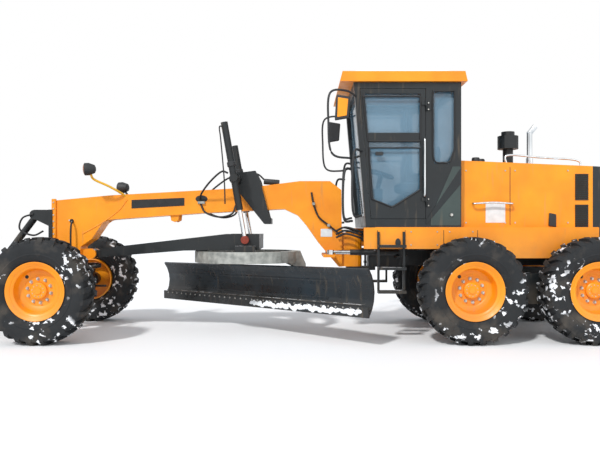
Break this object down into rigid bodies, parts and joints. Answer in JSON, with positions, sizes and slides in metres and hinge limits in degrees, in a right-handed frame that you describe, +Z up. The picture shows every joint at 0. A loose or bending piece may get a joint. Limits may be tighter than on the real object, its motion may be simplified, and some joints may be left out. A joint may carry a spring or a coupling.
{
  "type": "motor grader",
  "caption": "Articulated six-wheel motor grader with a turning blade under its gooseneck, a glazed cab, tandem rear drive and leaning, steered front wheels.",
  "frame": {"origin": "on the ground under the middle of the machine's bounding box", "axes": "+X forward, +Y to the machine's left, +Z up"},
  "size_m": [9.24, 3.0819, 3.49],
  "materials": {
    "orange_paint": "weathered gloss",
    "dark_paint": "satin",
    "steel": "worn",
    "chrome": "bright",
    "tyre": "dusty",
    "glass": "clear",
    "fabric": "matt"
  },
  "bodies": {
    "rear_machine": {"rear_frame": "dark_paint", "deck_and_skirts": "orange_paint", "cab_frame": "dark_paint", "cab_roof": "orange_paint", "windshield": "glass", "rear_window": "glass", "driver_seat": "fabric", "steering_console": "dark_paint", "engine_hood": "orange_paint", "engine_block": "steel", "radiator_hood": "dark_paint", "exhaust_stack": "chrome", "air_precleaner": "dark_paint", "rear_axle": "dark_paint", "left_ladder": "dark_paint", "right_ladder": "dark_paint"},
    "front_machine": {"front_frame": "orange_paint", "lift_saddle": "dark_paint", "front_bracket": "dark_paint"},
    "front_axle_body": {"front_axle": "orange_paint"},
    "lean_bar_body": {"lean_bar": "dark_paint"},
    "drawbar_body": {"drawbar": "dark_paint"},
    "circle_body": {"circle": "steel"},
    "carrier_body": {"blade_carrier": "dark_paint"},
    "mouldboard_body": {"mouldboard": "dark_paint"},
    "front_lift_body": {"front_lift_frame": "dark_paint"},
    "front_lift_barrel_body": {"front_lift_barrel": "dark_paint"},
    "front_lift_rod_body": {"front_lift_rod": "chrome"},
    "left_door_body": {"left_door": "dark_paint", "left_door_glass": "glass"},
    "left_tandem_body": {"left_tandem_case": "dark_paint"},
    "left_mid_wheel": {"left_mid_tyre": "tyre", "left_mid_rim": "orange_paint"},
    "left_rear_wheel": {"left_rear_tyre": "tyre", "left_rear_rim": "orange_paint"},
    "left_yoke_body": {"left_yoke": "dark_paint"},
    "left_knuckle_body": {"left_knuckle": "dark_paint"},
    "left_front_wheel": {"left_front_tyre": "tyre", "left_front_rim": "orange_paint"},
    "right_door_body": {"right_door": "dark_paint", "right_door_glass": "glass"},
    "right_tandem_body": {"right_tandem_case": "dark_paint"},
    "right_mid_wheel": {"right_mid_tyre": "tyre", "right_mid_rim": "orange_paint"},
    "right_rear_wheel": {"right_rear_tyre": "tyre", "right_rear_rim": "orange_paint"},
    "right_yoke_body": {"right_yoke": "dark_paint"},
    "right_knuckle_body": {"right_knuckle": "dark_paint"},
    "right_front_wheel": {"right_front_tyre": "tyre", "right_front_rim": "orange_paint"},
    "left_lift_barrel_body": {"left_lift_barrel": "dark_paint"},
    "left_lift_rod_body": {"left_lift_rod": "chrome"},
    "right_lift_barrel_body": {"right_lift_barrel": "dark_paint"},
    "right_lift_rod_body": {"right_lift_rod": "chrome"},
    "left_articulation_barrel_body": {"left_articulation_barrel": "dark_paint"},
    "left_articulation_rod_body": {"left_articulation_rod": "chrome"},
    "right_articulation_barrel_body": {"right_articulation_barrel": "dark_paint"},
    "right_articulation_rod_body": {"right_articulation_rod": "chrome"}
  },
  "joints": [
    {"name": "articulation", "type": "hinge", "parent": "rear_machine", "child": "front_machine", "pos_m": [-0.78, 0, 1.16], "axis": [0, 0, -1], "range_deg": [-20, 20]},
    {"name": "front_axle_oscillation", "type": "hinge", "parent": "front_machine", "child": "front_axle_body", "pos_m": [3.27, 0, 0.75], "axis": [1, 0, 0], "range_deg": [-15, 15]},
    {"name": "left_door_hinge", "type": "hinge", "parent": "rear_machine", "child": "left_door_body", "pos_m": [-1.64, 0.82, 2.4], "axis": [0, 0, 1], "range_deg": [0, 85]},
    {"name": "left_tandem_pivot", "type": "hinge", "parent": "rear_machine", "child": "left_tandem_body", "pos_m": [-2.931, 0.62, 0.67076], "axis": [0, 1, 0], "range_deg": [-15, 15]},
    {"name": "left_mid_wheel_spin", "type": "hinge", "parent": "left_tandem_body", "child": "left_mid_wheel", "pos_m": [-2.162, 1.075, 0.67076], "axis": [0, 1, 0], "continuous": true},
    {"name": "left_rear_wheel_spin", "type": "hinge", "parent": "left_tandem_body", "child": "left_rear_wheel", "pos_m": [-3.7, 1.075, 0.67076], "axis": [0, 1, 0], "continuous": true},
    {"name": "left_wheel_lean", "type": "hinge", "parent": "front_axle_body", "child": "left_yoke_body", "pos_m": [3.27, 0.56, 0.67076], "axis": [-1, 0, 0], "range_deg": [-17, 17]},
    {"name": "left_steering", "type": "hinge", "parent": "left_yoke_body", "child": "left_knuckle_body", "pos_m": [3.27, 0.88, 0.67076], "axis": [0, 0, -1], "range_deg": [-45, 45]},
    {"name": "left_front_wheel_spin", "type": "hinge", "parent": "left_knuckle_body", "child": "left_front_wheel", "pos_m": [3.27, 1.075, 0.67076], "axis": [0, 1, 0], "continuous": true},
    {"name": "right_door_hinge", "type": "hinge", "parent": "rear_machine", "child": "right_door_body", "pos_m": [-1.64, -0.82, 2.4], "axis": [0, 0, -1], "range_deg": [0, 85]},
    {"name": "right_tandem_pivot", "type": "hinge", "parent": "rear_machine", "child": "right_tandem_body", "pos_m": [-2.931, -0.62, 0.67076], "axis": [0, 1, 0], "range_deg": [-15, 15]},
    {"name": "right_mid_wheel_spin", "type": "hinge", "parent": "right_tandem_body", "child": "right_mid_wheel", "pos_m": [-2.162, -1.075, 0.67076], "axis": [0, 1, 0], "continuous": true},
    {"name": "right_rear_wheel_spin", "type": "hinge", "parent": "right_tandem_body", "child": "right_rear_wheel", "pos_m": [-3.7, -1.075, 0.67076], "axis": [0, 1, 0], "continuous": true},
    {"name": "right_wheel_lean", "type": "hinge", "parent": "front_axle_body", "child": "right_yoke_body", "pos_m": [3.27, -0.56, 0.67076], "axis": [-1, 0, 0], "range_deg": [-17, 17]},
    {"name": "right_steering", "type": "hinge", "parent": "right_yoke_body", "child": "right_knuckle_body", "pos_m": [3.27, -0.88, 0.67076], "axis": [0, 0, -1], "range_deg": [-45, 45]},
    {"name": "right_front_wheel_spin", "type": "hinge", "parent": "right_knuckle_body", "child": "right_front_wheel", "pos_m": [3.27, -1.075, 0.67076], "axis": [0, 1, 0], "continuous": true},
    {"name": "lean_bar_pivot", "type": "hinge", "parent": "left_yoke_body", "child": "lean_bar_body", "pos_m": [3.035, 0.54, 0.9], "axis": [-1, 0, 0], "range_deg": [-17, 17]},
    {"name": "drawbar_lift", "type": "hinge", "parent": "front_machine", "child": "drawbar_body", "pos_m": [2.95, 0, 1.1], "axis": [0, -1, 0], "range_deg": [-1.5, 17]},
    {"name": "circle_turn", "type": "hinge", "parent": "drawbar_body", "child": "circle_body", "pos_m": [0.74, 0, 1.14], "axis": [0, 0, 1], "range_deg": [-94, 6]},
    {"name": "blade_tilt", "type": "hinge", "parent": "circle_body", "child": "carrier_body", "pos_m": [0.52502, -0.20939, 0.50006], "axis": [-0.7156, 0.6983, 0.0157], "range_deg": [-5, 40]},
    {"name": "blade_side_shift", "type": "slide", "parent": "carrier_body", "child": "mouldboard_body", "axis": [0.7156, -0.6983, -0.0157], "range_m": [-0.5, 0.5]},
    {"name": "front_lift", "type": "hinge", "parent": "front_machine", "child": "front_lift_body", "pos_m": [3.66, 0, 0.6], "axis": [0, -1, 0], "range_deg": [-15, 25]},
    {"name": "left_lift_trunnion", "type": "hinge", "parent": "front_machine", "child": "left_lift_barrel_body", "pos_m": [0.885, 0.55, 2.13], "axis": [0, -1, 0], "range_deg": [-1.49, 6.53]},
    {"name": "left_lift_stroke", "type": "slide", "parent": "left_lift_barrel_body", "child": "left_lift_rod_body", "axis": [-0.1744, 0, -0.9847], "range_m": [-0.0773, 0.6693]},
    {"name": "right_lift_trunnion", "type": "hinge", "parent": "front_machine", "child": "right_lift_barrel_body", "pos_m": [0.885, -0.55, 2.13], "axis": [0, -1, 0], "range_deg": [-1.49, 6.53]},
    {"name": "right_lift_stroke", "type": "slide", "parent": "right_lift_barrel_body", "child": "right_lift_rod_body", "axis": [-0.1744, 0, -0.9847], "range_m": [-0.0773, 0.6693]},
    {"name": "front_lift_trunnion", "type": "hinge", "parent": "front_machine", "child": "front_lift_barrel_body", "pos_m": [3.75, 0, 1.65], "axis": [0, -1, 0], "range_deg": [-5.12, 7.2]},
    {"name": "front_lift_stroke", "type": "slide", "parent": "front_lift_barrel_body", "child": "front_lift_rod_body", "axis": [0.6015, 0, -0.7989], "range_m": [-0.3349, 0.2089]},
    {"name": "left_articulation_trunnion", "type": "hinge", "parent": "rear_machine", "child": "left_articulation_barrel_body", "pos_m": [-1.38, 0.47, 1.13], "axis": [0, 0, -1], "range_deg": [-7.49, 7.49]},
    {"name": "left_articulation_stroke", "type": "slide", "parent": "left_articulation_barrel_body", "child": "left_articulation_rod_body", "axis": [0.9935, -0.1138, 0], "range_m": [-0.1585, 0.1585]},
    {"name": "right_articulation_trunnion", "type": "hinge", "parent": "rear_machine", "child": "right_articulation_barrel_body", "pos_m": [-1.38, -0.47, 1.13], "axis": [0, 0, -1], "range_deg": [-7.49, 7.49]},
    {"name": "right_articulation_stroke", "type": "slide", "parent": "right_articulation_barrel_body", "child": "right_articulation_rod_body", "axis": [0.9935, 0.1138, 0], "range_m": [-0.1585, 0.1585]}
  ],
  "couplings": [
    {"joint": "right_wheel_lean", "follows": "left_wheel_lean", "ratio": 1},
    {"joint": "right_steering", "follows": "left_steering", "ratio": 1},
    {"joint": "lean_bar_pivot", "follows": "left_wheel_lean", "ratio": -1},
    {"joint": "left_lift_trunnion", "follows": "drawbar_lift", "ratio": 0.32513},
    {"joint": "left_lift_stroke", "follows": "drawbar_lift", "m_per_rad": 2.1884},
    {"joint": "right_lift_trunnion", "follows": "drawbar_lift", "ratio": 0.32513},
    {"joint": "right_lift_stroke", "follows": "drawbar_lift", "m_per_rad": 2.1884},
    {"joint": "front_lift_trunnion", "follows": "front_lift", "ratio": 0.20817},
    {"joint": "front_lift_stroke", "follows": "front_lift", "m_per_rad": -0.72168},
    {"joint": "left_articulation_trunnion", "follows": "articulation", "ratio": 0.32427},
    {"joint": "left_articulation_stroke", "follows": "articulation", "m_per_rad": 0.39682},
    {"joint": "right_articulation_trunnion", "follows": "articulation", "ratio": 0.32427},
    {"joint": "right_articulation_stroke", "follows": "articulation", "m_per_rad": -0.39682}
  ]
}
